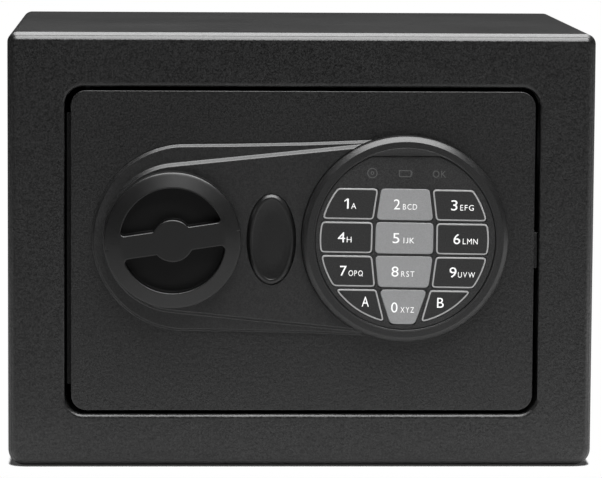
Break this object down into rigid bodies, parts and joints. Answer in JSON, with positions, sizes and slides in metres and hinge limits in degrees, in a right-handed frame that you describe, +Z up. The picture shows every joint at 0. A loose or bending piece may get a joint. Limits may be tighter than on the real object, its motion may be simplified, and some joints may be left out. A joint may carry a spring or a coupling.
{
  "type": "home safe",
  "caption": "Small black steel home safe with a hinged door, a turn knob that slides two bolts, an electronic keypad and a covered override key lock.",
  "frame": {"origin": "middle of the base, on the surface that the safe stands on", "axes": "+X to the right as seen from the front, +Y towards the rear, +Z up; the door faces -Y"},
  "size_m": [0.229, 0.183, 0.17],
  "materials": {
    "powder_coat": "fine textured black powder coat",
    "black_plastic": "satin black moulding",
    "keypad_overlay": "fine-grained black film",
    "key_black": "fine-grained black film with a grey outline and white legend",
    "key_grey": "grey film with a white legend",
    "zinc_steel": "zinc plated",
    "bright_steel": "turned and polished",
    "brass": "turned",
    "felt": "black needle felt",
    "circuit_board": "green solder mask",
    "cable_grey": "flat grey ribbon",
    "coil_wrap": "steel frame round a taped coil",
    "battery_wrap": "plain printed sleeve",
    "reset_red": "glossy red"
  },
  "bodies": {
    "cabinet": {"body_shell": "powder_coat", "rear_panel": "powder_coat", "door_stop": "powder_coat", "upper_hinge_bush": "brass", "lower_hinge_bush": "brass", "floor_mat": "felt"},
    "door": {"door_plate": "powder_coat", "hinge_leaf": "powder_coat", "upper_hinge_pin": "bright_steel", "lower_hinge_pin": "bright_steel", "front_panel": "black_plastic", "keypad_ring": "black_plastic", "keypad_mask": "keypad_overlay", "keypad_board": "circuit_board", "keypad_cable": "cable_grey", "knob_bush": "brass", "lock_cylinder": "zinc_steel", "lock_nut": "zinc_steel", "bolt_guide": "zinc_steel", "left_guide_stud": "zinc_steel", "right_guide_stud": "zinc_steel", "solenoid_body": "coil_wrap", "plunger_spring": "bright_steel", "inner_cover": "black_plastic", "battery_tray": "black_plastic", "battery_1": "battery_wrap", "battery_2": "battery_wrap", "battery_3": "battery_wrap", "battery_4": "battery_wrap", "control_board": "circuit_board", "cover_screw_1": "bright_steel", "cover_screw_2": "bright_steel", "cover_screw_3": "bright_steel", "cover_screw_4": "bright_steel"},
    "turn_knob": {"knob": "black_plastic", "knob_shaft": "bright_steel", "knob_clip": "bright_steel", "crank": "zinc_steel"},
    "bolts": {"bolt_plate": "zinc_steel", "blocking_pin": "bright_steel", "upper_bolt": "bright_steel", "lower_bolt": "bright_steel"},
    "plunger": {"solenoid_plunger": "bright_steel"},
    "lock_barrel": {"lock_plug": "brass", "lock_cam": "zinc_steel"},
    "key_cover": {"key_cover": "black_plastic"},
    "battery_cover": {"battery_cover": "black_plastic"},
    "reset_button": {"reset_button": "reset_red"},
    "key_1": {"key_1": "key_black"},
    "key_2": {"key_2": "key_grey"},
    "key_3": {"key_3": "key_black"},
    "key_4": {"key_4": "key_black"},
    "key_5": {"key_5": "key_grey"},
    "key_6": {"key_6": "key_black"},
    "key_7": {"key_7": "key_black"},
    "key_8": {"key_8": "key_grey"},
    "key_9": {"key_9": "key_black"},
    "key_a": {"key_a": "key_black"},
    "key_0": {"key_0": "key_grey"},
    "key_b": {"key_b": "key_black"}
  },
  "joints": [
    {"name": "door_swing", "type": "hinge", "parent": "cabinet", "child": "door", "pos_m": [-0.0832, -0.079, 0.0848], "axis": [0, 0, -1], "range_deg": [0, 88]},
    {"name": "knob_turn", "type": "hinge", "parent": "door", "child": "turn_knob", "pos_m": [-0.0503, -0.09, 0.0902], "axis": [0, -1, 0], "range_deg": [0, 80]},
    {"name": "bolt_slide", "type": "slide", "parent": "door", "child": "bolts", "axis": [1, 0, 0], "range_m": [0, 0.01]},
    {"name": "plunger_drop", "type": "slide", "parent": "door", "child": "plunger", "axis": [0, 0, -1], "range_m": [0, 0.004], "deforming": ["plunger_spring"]},
    {"name": "lock_turn", "type": "hinge", "parent": "door", "child": "lock_barrel", "pos_m": [-0.0119, -0.08, 0.095], "axis": [0, -1, 0], "range_deg": [0, 90]},
    {"name": "key_cover_pull", "type": "slide", "parent": "door", "child": "key_cover", "axis": [0, -1, 0], "range_m": [0, 0.012]},
    {"name": "battery_cover_pull", "type": "slide", "parent": "door", "child": "battery_cover", "axis": [0, 1, 0], "range_m": [0, 0.015]},
    {"name": "reset_press", "type": "slide", "parent": "door", "child": "reset_button", "axis": [0, -1, 0], "range_m": [0, 0.0015], "stiffness_N_per_m": 1200},
    {"name": "key_1_press", "type": "slide", "parent": "door", "child": "key_1", "axis": [0, 1, 0], "range_m": [0, 0.0006], "stiffness_N_per_m": 1500},
    {"name": "key_2_press", "type": "slide", "parent": "door", "child": "key_2", "axis": [0, 1, 0], "range_m": [0, 0.0006], "stiffness_N_per_m": 1500},
    {"name": "key_3_press", "type": "slide", "parent": "door", "child": "key_3", "axis": [0, 1, 0], "range_m": [0, 0.0006], "stiffness_N_per_m": 1500},
    {"name": "key_4_press", "type": "slide", "parent": "door", "child": "key_4", "axis": [0, 1, 0], "range_m": [0, 0.0006], "stiffness_N_per_m": 1500},
    {"name": "key_5_press", "type": "slide", "parent": "door", "child": "key_5", "axis": [0, 1, 0], "range_m": [0, 0.0006], "stiffness_N_per_m": 1500},
    {"name": "key_6_press", "type": "slide", "parent": "door", "child": "key_6", "axis": [0, 1, 0], "range_m": [0, 0.0006], "stiffness_N_per_m": 1500},
    {"name": "key_7_press", "type": "slide", "parent": "door", "child": "key_7", "axis": [0, 1, 0], "range_m": [0, 0.0006], "stiffness_N_per_m": 1500},
    {"name": "key_8_press", "type": "slide", "parent": "door", "child": "key_8", "axis": [0, 1, 0], "range_m": [0, 0.0006], "stiffness_N_per_m": 1500},
    {"name": "key_9_press", "type": "slide", "parent": "door", "child": "key_9", "axis": [0, 1, 0], "range_m": [0, 0.0006], "stiffness_N_per_m": 1500},
    {"name": "key_a_press", "type": "slide", "parent": "door", "child": "key_a", "axis": [0, 1, 0], "range_m": [0, 0.0006], "stiffness_N_per_m": 1500},
    {"name": "key_0_press", "type": "slide", "parent": "door", "child": "key_0", "axis": [0, 1, 0], "range_m": [0, 0.0006], "stiffness_N_per_m": 1500},
    {"name": "key_b_press", "type": "slide", "parent": "door", "child": "key_b", "axis": [0, 1, 0], "range_m": [0, 0.0006], "stiffness_N_per_m": 1500}
  ],
  "couplings": [
    {"joint": "bolt_slide", "follows": "knob_turn", "m_per_rad": 0.00716}
  ]
}
